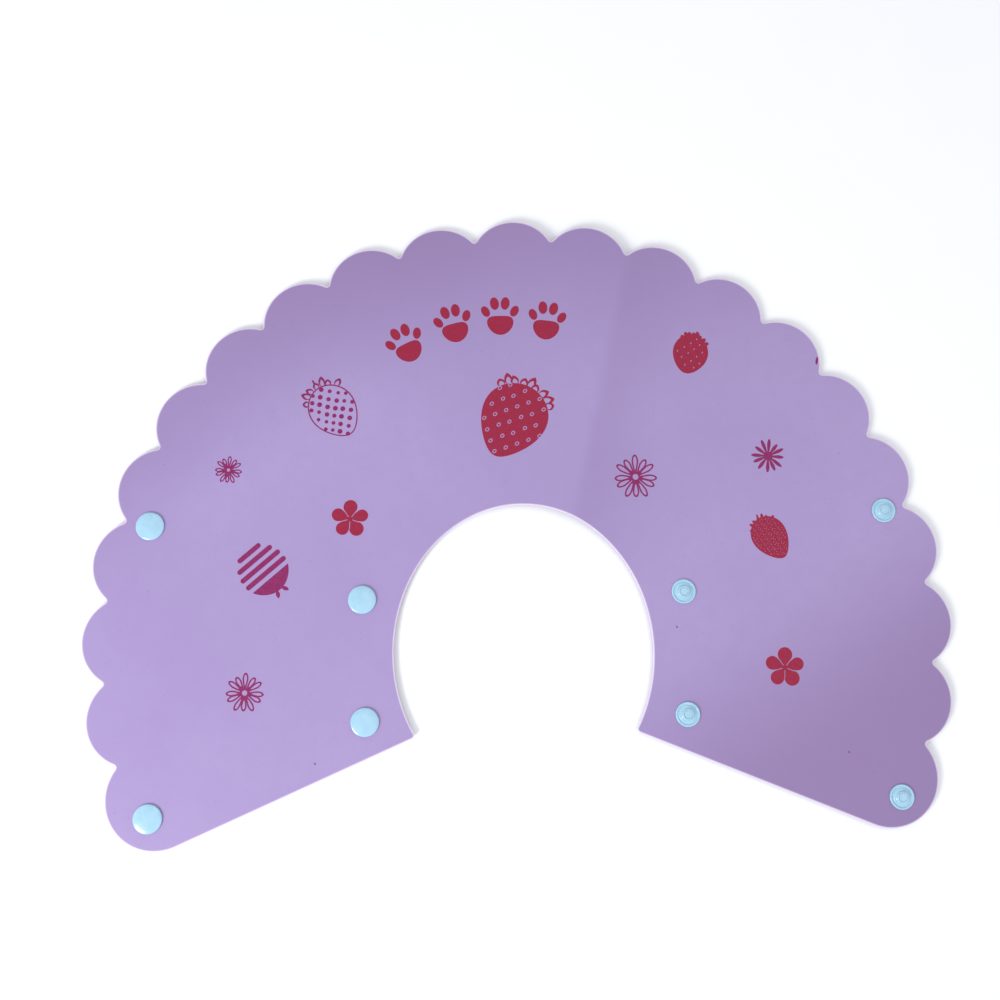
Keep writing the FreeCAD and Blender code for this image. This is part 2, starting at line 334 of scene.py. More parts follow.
def sheet_outline():
    """The whole outline's points and outward normals, clockwise from the top of the middle lobe.

    The third value tells which of them are on the neck opening.
    """
    points, normals, neck = half_outline()
    points = np.vstack([points, points[-2:0:-1] * MIRROR])
    normals = np.vstack([normals, normals[-2:0:-1] * MIRROR])
    is_neck = np.zeros(len(points), bool)
    is_neck[neck:len(points) - neck + 1] = True
    return points, normals, is_neck


def inside(points, loop):
    """Which of the points lie inside a closed loop."""
    ax, ay = loop[:, 0], loop[:, 1]
    bx, by = np.roll(ax, -1), np.roll(ay, -1)
    rise = np.where(by == ay, 1e-12, by - ay)
    found = []
    for part in np.array_split(points, max(1, len(points) // CHUNK)):
        x, y = part[:, :1], part[:, 1:]
        spans = (ay > y) != (by > y)
        found.append((spans & (x < (bx - ax) * (y - ay) / rise + ax)).sum(1) % 2 == 1)
    return np.concatenate(found)


def gap_to(points, marks):
    """Each point's distance to the nearest of the marks."""
    found = []
    for part in np.array_split(points, max(1, len(points) // CHUNK)):
        found.append(np.sqrt(((part[:, None] - marks[None]) ** 2).sum(2).min(1)))
    return np.concatenate(found)


def grid(low, high, step):
    """A triangular grid of points that fills a rectangle."""
    rows = []
    for row, y in enumerate(np.arange(low[1], high[1], step * math.sqrt(3) / 2)):
        xs = np.arange(low[0] + (row % 2) * step / 2, high[0], step)
        rows.append(np.column_stack([xs, np.full(len(xs), y)]))
    return np.vstack(rows)


# ---- folds

class Fold:
    """A fold line with its bend. The unit vector onward leads across it, towards the child body."""

    def __init__(self, side, number):
        joint = JOINTS["fold_%s_%d" % (side, number)]
        self.name = "%s_%d" % (side, number)
        self.bodies = (joint["parent"], joint["child"])
        self.point, self.line = fold_line(joint["name"])
        self.angle = bearing(self.line)
        way = 1 if side == "right" else -1
        self.onward = np.array([self.line[1], -self.line[0]]) * way
        self.before = BLEND_REACH
        self.after = BLEND_REACH

    def keep_clear(self, point, clearance):
        """Shortens the bend on the point's side, so that it ends at least clearance short of the point."""
        distance = (point - self.point) @ self.onward
        if distance > 0:
            self.after = min(self.after, distance - clearance)
        else:
            self.before = min(self.before, -distance - clearance)


def all_folds():
    """The folds from the left end of the sheet to the right end."""
    count = sum(name.startswith("fold_left") for name in JOINTS)
    left = [Fold("left", number) for number in range(count, 0, -1)]
    return left + [Fold("right", number) for number in range(1, count + 1)]


def cut_ends(folds, ring, is_neck):
    """The ring points at the neck and the rim where each cut ends, midway between neighbouring folds."""
    cuts = []
    for fold, other in zip(folds, folds[1:]):
        direction = heading((fold.angle + other.angle) / 2)
        offset = ring - crossing(fold.point, fold.line, other.point, other.line)
        off_line = np.abs(offset @ np.array([direction[1], -direction[0]]))
        off_line[offset @ direction < 0] = np.inf
        at_neck = int(np.argmin(np.where(is_neck, off_line, np.inf)))
        at_rim = int(np.argmin(np.where(is_neck, np.inf, off_line)))
        cuts.append((at_neck, at_rim))
    return cuts


def piece_numbers(points, ring, cuts):
    """The number, counted from the left end, of the piece of sheet that each point belongs to."""
    angles = np.degrees(np.arctan2(points[:, 0] - NECK_POINT[0], points[:, 1] - NECK_POINT[1]))
    numbers = np.zeros(len(points), int)
    for at_neck, at_rim in cuts:
        start, end = ring[at_neck], ring[at_rim]
        ahead = angles - bearing(end - NECK_POINT)
        along = end - start
        offset = points - start
        beyond = along[0] * offset[:, 1] - along[1] * offset[:, 0] < 0
        numbers += np.where(np.abs(ahead) > FAR_ROUND, ahead > 0, beyond)
    return numbers


def fit_bends(folds, ring, cuts, snaps):
    """Shortens each fold's bend, so that it stays clear of the cuts and of the snaps on its own bodies."""
    for fold in folds:
        for body in fold.bodies:
            for snap in snaps.get(body, []):
                fold.keep_clear(snap, CAP_CLEARANCE)
    for fold, other, (at_neck, _) in zip(folds, folds[1:], cuts):
        fold.keep_clear(ring[at_neck], CUT_CLEARANCE)
        other.keep_clear(ring[at_neck], CUT_CLEARANCE)
    for fold in folds:
        longest = UNEVEN_RATIO * min(fold.before, fold.after) + UNEVEN_SPARE
        fold.before = min(fold.before, longest)
        fold.after = min(fold.after, longest)


def bend(piece):
    """Bakes a piece's place into its mesh. A piece has to be in place."""
    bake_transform(piece)


def crease_directions():
    """Unit vectors along the crease, towards the rim, and across it, towards the right."""
    along = (CREASE_RIM - CREASE_NECK) / np.linalg.norm(CREASE_RIM - CREASE_NECK)
    return along, np.array([along[1], -along[0]])


def swell(points):
    """How far the sheet lies above its flat level, in millimetres, at each point."""
    x, y = points[:, 0], points[:, 1]
    distance = (points - CREASE_NECK) @ crease_directions()[1]
    rounded = np.sqrt(distance ** 2 + CREASE_ROUND ** 2) - CREASE_ROUND
    fall = np.where(distance < 0, CREASE_FALL_LEFT, CREASE_FALL_RIGHT)
    crease = CREASE_HEIGHT * np.exp(-rounded / fall)
    along, across = x / WAVE_ALONG, y / WAVE_ACROSS
    waves = np.sin(along * 2 * math.pi + WAVE_START) * np.cos(across * 2 * math.pi)
    angles = np.abs(np.degrees(np.arctan2(x - NECK_POINT[0], y - NECK_POINT[1])))
    return (crease + WAVE_HEIGHT * waves) * (1 - smooth(WAVY_UNTIL, FLAT_FROM, angles))


# ---- meshes

class Plan:
    """Points to triangulate, with the edges between them that have to stay."""

    def __init__(self):
        self.points = []
        self.edges = []
        self.total = 0

    def add(self, points):
        """Adds points and gives their numbers."""
        numbers = list(range(self.total, self.total + len(points)))
        self.points.append(points)
        self.total += len(points)
        return numbers

    def add_chain(self, points, start, end):
        """Adds points, and the edges that lead through them from one number to another."""
        numbers = [start, *self.add(points), end]
        self.edges += zip(numbers, numbers[1:])

    def add_loop(self, points):
        """Adds points and the edges of the closed loop through them."""
        numbers = self.add(points)
        self.edges += zip(numbers, numbers[1:] + numbers[:1])

    def triangulated(self, filling):
        """All points and the triangles between them, turned face up, with the filling points added last."""
        points = [Vector(point) for point in np.vstack([*self.points, filling])]
        found = delaunay_2d_cdt(points, self.edges, [], 0, MERGE_DISTANCE, False)
        out = np.array([[point.x, point.y] for point in found[0]])
        triangles = np.array([list(face) for face in found[2]])
        a, b, c = out[triangles[:, 0]], out[triangles[:, 1]], out[triangles[:, 2]]
        area = (b[:, 0] - a[:, 0]) * (c[:, 1] - a[:, 1]) - (b[:, 1] - a[:, 1]) * (c[:, 0] - a[:, 0])
        triangles[area < 0] = triangles[area < 0][:, ::-1]
        return out, triangles[np.abs(area) > LEAST_AREA]


def open_edges(triangles):
    """The edges that only one triangle has, in the direction that it has them."""
    edges = np.vstack([triangles[:, [0, 1]], triangles[:, [1, 2]], triangles[:, [2, 0]]])
    known = {tuple(edge) for edge in edges}
    return [edge for edge in known if edge[::-1] not in known]


def slab_faces(triangles, edges, count):
    """The triangles, the same ones face down and count points on, and the walls between their edges."""
    faces = [list(face) for face in triangles]
    faces += [[index + count for index in face[::-1]] for face in triangles]
    faces += [[end, start, start + count, end + count] for start, end in edges]
    return faces


def mesh_object(name, points, faces, material):
    """An object of the faces, and the numbers of the points that they use. Points are in metres."""
    used = sorted({index for face in faces for index in face})
    number = {index: place for place, index in enumerate(used)}
    own_points = [tuple(points[index]) for index in used]
    own_faces = [[number[index] for index in face] for face in faces]
    mesh = bpy.data.meshes.new(name)
    mesh.from_pydata(own_points, [], own_faces)
    mesh.materials.append(material)
    mesh.shade_smooth()
    mesh.set_sharp_from_angle(angle=SHARP)
    made = bpy.data.objects.new(name, mesh)
    bpy.context.scene.collection.objects.link(made)
    return made, used


def edge_profile():
    """(inset, depth, share of painted highlight) round the sheet's cut edge, from its top to its underside.
    """
    thickness = SHEET_HIGH - SHEET_LOW
    top = []
    for turn in np.radians((0, 30, 60, 90)):
        out, up = math.sin(turn), math.cos(turn)
        highlight_share = EDGE_HIGHLIGHT_LEAST + (1 - EDGE_HIGHLIGHT_LEAST) * out
        top.append((EDGE_ROUND * (1 - out), EDGE_ROUND * (1 - up), highlight_share))
    return top + [(inset, thickness - depth, edge_highlight) for inset, depth, edge_highlight in top[::-1]]


class Sheet:
    """The sheet's outline, folds and cuts, and the meshes made from them."""

    def __init__(self, snaps):
        self.snaps = np.array([centre for centres in snaps.values() for centre in centres])
        self.outline, self.normals, is_neck = sheet_outline()
        self.ring = self.outline - self.normals * EDGE_BAND
        self.folds = all_folds()
        self.cuts = cut_ends(self.folds, self.ring, is_neck)
        fit_bends(self.folds, self.ring, self.cuts, snaps)

    def triangles(self):
        """The points and triangles of the flat sheet inside the ring, with its prong holes."""
        ring = self.ring
        plan = Plan()
        plan.add_loop(ring)
        for at_neck, at_rim in self.cuts:
            start, end = ring[at_neck], ring[at_rim]
            count = math.ceil(np.linalg.norm(end - start) / GRID_STEP)
            shares = np.arange(1, count) / count
            plan.add_chain(start + (end - start) * shares[:, None], at_neck, at_rim)
        drawn = np.vstack(plan.points)
        turns = np.linspace(0, 2 * math.pi, HOLE_SIDES, endpoint=False)
        hole = np.column_stack([np.cos(turns), np.sin(turns)]) * PRONG_HOLE
        for snap in self.snaps:
            plan.add_loop(snap + hole)
        filling = grid(ring.min(0), ring.max(0), GRID_STEP)
        filling = filling[inside(filling, ring)]
        filling = filling[gap_to(filling, drawn) > GRID_CLEARANCE]
        filling = filling[gap_to(filling, self.snaps) > PRONG_HOLE + HOLE_CLEARANCE]
        out, triangles = plan.triangulated(filling)
        middles = out[triangles].mean(1)
        kept = inside(middles, ring) & (gap_to(middles, self.snaps) > PRONG_HOLE)
        return out, triangles[kept]

    def levels(self, flat):
        """The sheet's points and their share of the painted edge highlight, and the numbers of those on
        each ring round its edge.

        The first points of each face are those of its ring, because the triangulation keeps their order.
        """
        count, size = len(flat), len(self.ring)
        lift, ring_lift = swell(flat), swell(self.outline)
        points = [np.column_stack([flat, level + lift]) for level in (SHEET_HIGH, SHEET_LOW)]
        edge_highlight = [np.zeros(2 * count)]
        rings = [np.arange(size)]
        first = 2 * count
        for inset, depth, highlight_share in edge_profile():
            ring = self.outline - self.normals * inset
            points.append(np.column_stack([ring, SHEET_HIGH + ring_lift - depth]))
            edge_highlight.append(np.full(size, highlight_share))
            rings.append(np.arange(first, first + size))
            first += size
        rings.append(np.arange(size) + count)
        return np.vstack(points) * MM, np.concatenate(edge_highlight), rings

    def closed_faces(self, own, count, rings):
        """The faces of one piece: its triangles on both faces, and the walls and rim between them."""
        size = len(self.ring)
        edges = open_edges(own)
        rim = [edge for edge in edges if max(edge) < size and (edge[1] - edge[0]) % size in (1, size - 1)]
        faces = slab_faces(own, [edge for edge in edges if edge not in rim], count)
        for start, end in rim:
            for ring, below in zip(rings, rings[1:]):
                faces.append([ring[end], ring[start], below[start], below[end]])
        starts = {start for start, _ in rim}
        ends = {end for _, end in rim}
        faces += [[ring[index] for ring in rings[::-1]] for index in starts - ends]
        faces += [[ring[index] for ring in rings] for index in ends - starts]
        return faces

    def build(self, material):
        """One piece for each fold, from the middle of one sector to the middle of the next."""
        flat, triangles = self.triangles()
        points, edge_highlight, rings = self.levels(flat)
        numbers = piece_numbers(flat[triangles].mean(1), self.ring, self.cuts)
        for number, fold in enumerate(self.folds):
            faces = self.closed_faces(triangles[numbers == number], len(flat), rings)
            piece, used = mesh_object("sheet_fold_" + fold.name, points, faces, material)
            # how much painted highlight each point of the cut edge gets
            attribute = piece.data.attributes.new("painted_edge_highlight", "FLOAT", "POINT")
            attribute.data.foreach_set("value", edge_highlight[used].astype(np.float32))
            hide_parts(*["sheet_" + body for body in fold.bodies])
            bend(piece)


# ---- prints
# A print is a list of (closed loop, inked) in painting order: each loop inks or bares what lies inside it.

def moved(loop, x, y, turn):
    """The loop turned clockwise by turn degrees and moved to x, y."""
    along, up = heading(90 + turn), heading(turn)
    return np.array([x, y]) + loop[:, :1] * along + loop[:, 1:] * up


def placed(layers, x, y, turn=0.0):
    """The layers turned and moved."""
    return [(moved(loop, x, y, turn), inked) for loop, inked in layers]


def disc(x, y, radius, count=20):
    """A circle round x, y."""
    turns = np.linspace(0, 2 * math.pi, count, endpoint=False)
    return np.array([x, y]) + np.column_stack([np.sin(turns), np.cos(turns)]) * radius


def oval(x, y, half_width, half_height, turn, count):
    """An ellipse round x, y, turned clockwise."""
    turns = np.linspace(0, 2 * math.pi, count, endpoint=False)
    shape = np.column_stack([np.sin(turns) * half_width, np.cos(turns) * half_height])
    return moved(shape, x, y, turn)


def berry(half_width, half_height, taper, count=72):
    """A strawberry's outline: broad shoulders above, and a blunt tip below."""
    turns = np.linspace(0, 2 * math.pi, count, endpoint=False)
    up = np.cos(turns)
    x = np.sin(turns) * half_width * (1 + taper * up - 0.12 * up * up)
    return np.column_stack([x, up * half_height])


def petal(length, half_width, root, count=14):
    """A blunt petal that stands up from the middle of a flower."""
    shares = 1 - np.linspace(1, 0, count) ** 2
    widths = half_width * np.minimum(1, (0.12 + shares) / 0.75) ** 0.8 * np.sqrt(1 - shares ** 5)
    right = np.column_stack([widths, root + shares * (length - root)])
    return np.vstack([right, right[-2::-1] * MIRROR])


def slit(low, high, half_width):
    """A narrow mark from low to high on the Y axis, with pointed ends."""
    right = [(0, low - half_width), (half_width, low), (half_width, high), (0, high + half_width)]
    return np.array(right + [(-half_width, high), (-half_width, low)])


def bar(start, end, width):
    """A straight stroke with round ends."""
    start, end = np.array(start, float), np.array(end, float)
    towards = bearing(end - start)
    caps = []
    for centre, first in ((end, towards - 90), (start, towards + 90)):
        caps += [centre + heading(first + turn) * width / 2 for turn in np.linspace(0, 180, 8)]
    return np.array(caps)


def leaf(length, half_width):
    """A pointed leaf from the origin upwards."""
    shares = np.linspace(0, 1, 9)
    widths = half_width * np.sin(math.pi * shares) ** 0.75
    right = np.column_stack([widths, shares * length])
    return np.vstack([right, right[-2:0:-1] * MIRROR])


def crown(top, half_width, drop, length, leaves, width, outlined=True):
    """Uneven leaves along a berry's shoulders, with a short stem. The outer ones start lower, by drop."""
    layers = [(bar((0, top), (0.5, top + length * 1.05), 0.8), True)]
    for index in range(leaves):
        share = index / (leaves - 1) * 2 - 1
        reach = length * (0.95 - 0.22 * math.cos(index * 2.4))
        x, y = share * half_width, top - drop * share * share
        turn = share * CROWN_SPREAD + 13 * math.sin(index * 2.1 + 0.6)
        layers.append((moved(leaf(reach, width), x, y, turn), True))
        if outlined:
            layers.append((moved(leaf(reach * 0.72, width - LINE * 1.2), x, y, turn), False))
    return layers


def seed_places(shape, step_x, step_y, margin):
    """Places in staggered rows inside a shape, at least margin from its edge."""
    low, high = shape.min(0), shape.max(0)
    places = []
    for row, y in enumerate(np.arange(low[1] + step_y * 0.45, high[1], step_y)):
        for x in np.arange(low[0] - step_x + (row % 2) * step_x / 2, high[0], step_x):
            places.append((x + 0.35 * math.sin(3.1 * row + x), y + 0.3 * math.cos(2.3 * x + row)))
    places = np.array(places)
    kept = inside(places, shape) & (gap_to(places, shape) > margin)
    return places[kept]


def ring_seed_berry():
    """A solid strawberry whose seeds are bare rings."""
    body = berry(14.9, 18.0, 0.24)
    layers = crown(16.4, 10.8, drop=4.0, length=5.8, leaves=9, width=1.9) + [(body, True)]
    for x, y in seed_places(body, 7.3, 3.9, 0.7):
        layers += [(oval(x, y, 0.85, 1.1, 20, 12), False), (oval(x, y, 0.45, 0.68, 20, 10), True)]
    return layers


def dotted_berry():
    """A strawberry drawn in outline and filled with dots."""
    width, height, taper = 10.6, 13.2, 0.16
    body = berry(width, height, taper)
    layers = crown(12.4, 7.0, drop=3.4, length=4.6, leaves=7, width=1.5)
    layers += [(body, True), (berry(width - LINE, height - LINE, taper), False)]
    for number, (x, y) in enumerate(seed_places(body, 4.9, 2.6, 0.7)):
        layers.append((disc(x, y, 0.98 + 0.16 * math.sin(number * 1.7), 14), True))
    return layers


def hatched_berry():
    """A small strawberry with a fine net of bare specks."""
    body = berry(8.0, 10.4, 0.22)
    layers = crown(9.6, 5.0, drop=2.6, length=2.2, leaves=7, width=0.7, outlined=False) + [(body, True)]
    for x, y in seed_places(body, 1.75, 0.9, 0.8):
        layers.append((disc(x, y, 0.17, 6), False))
    return layers


def plain_berry():
    """A small solid strawberry with a few seeds and short leaves."""
    body = berry(8.2, 9.6, 0.1)
    layers = crown(8.9, 5.2, drop=2.4, length=2.0, leaves=8, width=0.9, outlined=False) + [(body, True)]
    for x, y in seed_places(body, 4.6, 2.7, 1.3):
        layers.append((oval(x, y, 0.24, 0.48, 10, 8), False))
    return layers


def striped_berry():
    """A strawberry drawn as slanting stripes, with a solid shoulder and two leaves."""
    width, height = 11.0, 11.6
    body = berry(width, height, 0.05)
    layers = []
    for level in np.arange(-9.8, 4.5, 3.9):
        chord = body[np.abs(body[:, 1] - level) < 1.0]
        reach = np.abs(chord[:, 0]).max() - 1.1
        layers.append((bar((-reach, level), (reach, level), 2.2), True))
    shoulder = body[body[:, 1] > 4.6]
    shoulder = shoulder[np.argsort(shoulder[:, 0])]
    layers.append((shoulder, True))
    for side in (1, -1):
        layers.append((moved(leaf(3.6, 0.9), side * 1.2, height - 0.6, side * 28), True))
    return layers


def outline_daisy(radius, petals, core, hole, line):
    """A daisy of outlined petals round a solid core with a bare middle."""
    half_width = radius * math.pi / petals * 0.6
    layers = []
    for index in range(petals):
        turn = index * 360 / petals + 4 * math.sin(index * 2.6)
        reach = radius * (0.96 + 0.05 * math.cos(index * 3.7))
        outer = petal(reach, half_width, core * 0.5)
        inner = petal(reach - line * 1.2, half_width - line, core * 1.15)
        layers += placed([(outer, True), (inner, False)], 0, 0, turn)
    turns = np.linspace(0, 2 * math.pi, 4 * petals, endpoint=False)
    reach = core * (1 + 0.24 * np.cos(turns * petals))
    star = np.column_stack([np.sin(turns), np.cos(turns)]) * reach[:, None]
    return layers + [(star, True), (disc(0, 0, hole), False)]


def thin_daisy(radius, petals):
    """A daisy of thin solid petals."""
    layers = []
    for index in range(petals):
        turn = index * 360 / petals + 3 * math.sin(index * 1.9)
        reach = radius * (0.95 + 0.06 * math.cos(index * 2.9))
        layers.append((moved(petal(reach, 0.85, 0.8), 0, 0, turn), True))
    return layers + [(disc(0, 0, radius * 0.27), True)]


def round_flower(radius, turn):
    """Five round petals that narrow to the middle."""
    layers = []
    for index in range(5):
        reach = radius * (0.63 + 0.02 * math.sin(index * 2.0))
        size = radius * (0.345 + 0.03 * math.cos(index * 2.4 + 1))
        lobe = disc(0, reach, size, 28)
        narrow, wide, high = radius * 0.1, size * 0.93, reach - size * 0.35
        root = np.array([[narrow, 0.0], [wide, high], [-wide, high], [-narrow, 0.0]])
        layers += placed([(root, True), (lobe, True)], 0, 0, turn + index * 72)
    for index in range(5):
        mark = slit(radius * 0.14, radius * 0.5, 0.16)
        layers.append((moved(mark, 0, 0, turn + index * 72 + 36), False))
    return layers


def paw_print(size):
    """A paw print: one broad pad under four toes."""
    turns = np.linspace(0, 2 * math.pi, 40, endpoint=False)
    x = np.sin(turns) * 0.56
    y = np.cos(turns) * 0.42 - 0.10 * np.cos(2 * turns) - 0.40
    layers = [(np.column_stack([x * (1 - 0.12 * np.cos(turns)), y]), True)]
    for side in (-1, 1):
        layers.append((oval(side * 0.62, 0.12, 0.171, 0.252, side * 28, 24), True))
        layers.append((oval(side * 0.23, 0.47, 0.19, 0.28, side * 8, 24), True))
    return [(loop * size, inked) for loop, inked in layers]


def red_prints():
    """The red prints, from the arch over the neck opening to the right arm."""
    paws = ((-50.8, 82.2, -25), (-28.6, 91.4, -14), (-6.8, 94.8, 0), (14.9, 92.2, 8))
    return [placed(paw_print(10.8), *paw) for paw in paws] + [
        placed(ring_seed_berry(), -2.6, 44.2, 28),
        placed(round_flower(8.6, 3), -76.2, 0.7),
        placed(plain_berry(), 80.8, 74.6, 18),
        placed(hatched_berry(), 113.2, -11.8, -32),
        placed(round_flower(9.0, 4), 115.6, -69.6),
    ]


def plum_prints():
    """The plum prints, with a sliver at the rim and a few stray flecks."""
    flecks = ((-91.5, -105.3), (141.6, -106.9), (68.3, -50.6))
    return [
        placed(dotted_berry(), -83.2, 50.2, -36),
        placed(outline_daisy(10.2, 12, 2.9, 1.35, 0.72), 52.8, 17.3),
        placed(thin_daisy(7.9, 12), 114.2, 25.9, 8),
        placed(striped_berry(), -114.4, -21.2, 140),
        placed(outline_daisy(6.3, 12, 2.5, 0.75, 0.55), -130.3, 23.9, 6),
        placed(outline_daisy(8.6, 12, 2.7, 1.15, 0.68), -121.9, -74.5, 3),
        [(oval(140.0, 70.5, 0.55, 1.9, 12, 32), True)],
        *([(oval(x, y, 0.5, 0.3, 60, 8), True)] for x, y in flecks),
    ]


def add_print(layers, sheet, collected):
    """Triangulates one print and adds its inked triangles to the pieces of sheet that they lie on."""
    plan = Plan()
    for loop, _ in layers:
        plan.add_loop(loop)
    drawn = np.vstack(plan.points)
    for cut in sheet.cuts:
        plan.edges.append(tuple(plan.add(sheet.ring[list(cut)])))
    filling = grid(drawn.min(0) - 1, drawn.max(0) + 1, INK_GRID_STEP)
    filling = filling[gap_to(filling, drawn) > INK_GRID_CLEARANCE]
    out, triangles = plan.triangulated(filling)
    middles = out[triangles].mean(1)
    inked = np.zeros(len(middles), bool)
    for loop, ink in layers:
        inked[inside(middles, loop)] = ink
    triangles, middles = triangles[inked], middles[inked]
    numbers = piece_numbers(middles, sheet.ring, sheet.cuts)
    for number in set(numbers):
        collected.setdefault(number, []).append((out, triangles[numbers == number]))


def build_prints(colour, prints, sheet, material):
    """One thin closed mesh of ink for each piece of sheet that has any."""
    collected = {}
    for layers in prints:
        add_print(layers, sheet, collected)
    for number, parts in sorted(collected.items()):
        points = []
        faces = []
        total = 0
        for flat, triangles in parts:
            level = SHEET_HIGH + swell(flat)
            points += [np.column_stack([flat, height]) for height in (level + INK, level - INK_DEPTH)]
            faces += slab_faces(triangles + total, open_edges(triangles + total), len(flat))
            total += 2 * len(flat)
        fold = sheet.folds[number]
        name = "print_%s_%s" % (colour, fold.name)
        piece, _ = mesh_object(name, np.vstack(points) * MM, faces, material)
        bend(piece)


# ---- snap fasteners

def eased(profile, radius, steps=4):
    """A closed profile with its corners rounded."""
    points = [np.array(point, float) for point in profile]
    made = []
    for index, corner in enumerate(points):
        before, after = points[index - 1], points[(index + 1) % len(points)]
        reach = [min(radius, 0.4 * np.linalg.norm(other - corner)) for other in (before, after)]
        start = corner + (before - corner) / np.linalg.norm(before - corner) * reach[0]
        end = corner + (after - corner) / np.linalg.norm(after - corner) * reach[1]
        for share in np.linspace(0, 1, steps):
            made.append((1 - share) ** 2 * start + 2 * share * (1 - share) * corner + share ** 2 * end)
    return made


def lathe(name, profile, centre, base, way, material, segments=72):
    """A solid turned from a closed profile of (radius, height) on base. way is 1 for up and -1 for down."""
    points = []
    rows = []
    for radius, height in profile:
        z = base + way * height
        if radius < MERGE_DISTANCE:
            rows.append([len(points)] * segments)
            points.append((centre[0], centre[1], z))
            continue
        rows.append(list(range(len(points), len(points) + segments)))
        for turn in np.linspace(0, 2 * math.pi, segments, endpoint=False):
            points.append((centre[0] + radius * math.cos(turn), centre[1] + radius * math.sin(turn), z))
    faces = []
    for row, following in zip(rows, rows[1:] + rows[:1]):
        if row[0] == row[1] and following[0] == following[1]:
            continue
        for index in range(segments):
            onward = (index + 1) % segments
            corners = dict.fromkeys((row[index], row[onward], following[onward], following[index]))
            faces.append(list(corners)[::way])
    piece, _ = mesh_object(name, np.array(points) * MM, faces, material)
    return piece


def cap_profile(prong):
    """A domed cap with its prong, from the prong's end to the crown."""
    dome = [
        (CAP_RADIUS * math.sin(turn), CAP_RIM + (CAP_CROWN - CAP_RIM) * math.cos(turn))
        for turn in np.radians(np.linspace(90, 0, 22))
    ]
    foot = [
        (0, -prong - PRONG_HEAD), (PRONG_HEAD_RADIUS, -prong - PRONG_HEAD), (PRONG_HEAD_RADIUS, -prong),
        (PRONG_RADIUS, -prong), (PRONG_RADIUS, CAP_FOOT),
        (CAP_RADIUS - 0.16, CAP_FOOT), (CAP_RADIUS, CAP_FOOT + 0.16),
    ]
    return foot + dome


def socket_profile():
    """A socket, base at height 0, with its mouth away from the sheet."""
    return eased([
        (PRONG_HOLE, 0), (FLANGE_RADIUS, 0), (FLANGE_RADIUS, FLANGE * 0.8), (FLANGE_RADIUS - 0.5, FLANGE),
        (SOCKET_COLLAR_RADIUS, FLANGE), (SOCKET_COLLAR_RADIUS, SOCKET_HEIGHT),
        (SOCKET_BORE_RADIUS, SOCKET_HEIGHT), (SOCKET_BORE_RADIUS, SOCKET_GROOVE_TOP),
        (SOCKET_GROOVE_RADIUS, SOCKET_GROOVE_TOP), (SOCKET_GROOVE_RADIUS, SOCKET_BASE),
        (PRONG_HOLE, SOCKET_BASE),
    ], radius=0.2)


def stud_profile():
    """A stud, base at height 0, with a ringed flange, a thicker tip and a dish for the prong's head."""
    rim = FLANGE_RADIUS - RING_WIDTH
    step = rim - RING_WIDTH
    return eased([
        (PRONG_HOLE, 0), (FLANGE_RADIUS, 0), (FLANGE_RADIUS, FLANGE - 0.15), (FLANGE_RADIUS - 0.2, FLANGE),
        (rim, FLANGE), (rim - 0.2, RING_FLOOR), (step, RING_FLOOR), (step - 0.15, FLANGE - 0.1),
        (STUD_NECK_RADIUS + 0.4, FLANGE - 0.05), (STUD_NECK_RADIUS, FLANGE + 0.3),
        (STUD_RADIUS, STUD_HEIGHT - 0.3), (STUD_NECK_RADIUS, STUD_HEIGHT), (DISH_RADIUS, STUD_HEIGHT),
        (DISH_RADIUS, STUD_HEIGHT - DISH_DEPTH), (PRONG_HOLE, STUD_HEIGHT - DISH_DEPTH),
    ], radius=0.14)


def nodes_called(start):
    """The names of the nodes that start as given."""
    return [name for name in frame["nodes"] if name.startswith(start)]


def centre_of(node):
    """The middle of a node's box from above, in millimetres."""
    low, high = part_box(node)
    return np.array([low.x + high.x, low.y + high.y]) / 2 / MM


def snap_centres():
    """The places of the snaps by body."""
    centres = {}
    for name in nodes_called("cap_"):
        centres.setdefault(frame["nodes"][name]["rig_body"], []).append(centre_of(name))
    return centres


def build_snaps(material):
    """The caps, sockets and studs, which replace the plain ones."""
    thickness = SHEET_HIGH - SHEET_LOW
    kinds = (
        ("cap_left_", cap_profile(thickness + SOCKET_BASE), 1),
        ("cap_right_", cap_profile(thickness + STUD_HEIGHT - DISH_DEPTH), -1),
        ("socket_", socket_profile(), -1),
        ("stud_", stud_profile(), 1),
    )
    for start, profile, way in kinds:
        base = SHEET_HIGH if way > 0 else SHEET_LOW
        for node in nodes_called(start):
            piece = lathe("snap_" + node, profile, centre_of(node), base, way, material)
            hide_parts(node)
            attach(piece, frame["nodes"][node]["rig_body"])


# ---- materials

def linear(colour):
    """An sRGB colour as linear red, green, blue and alpha."""
    parts = [part / 12.92 if part <= 0.04045 else ((part + 0.055) / 1.055) ** 2.4 for part in colour]
    return (*parts, 1.0)


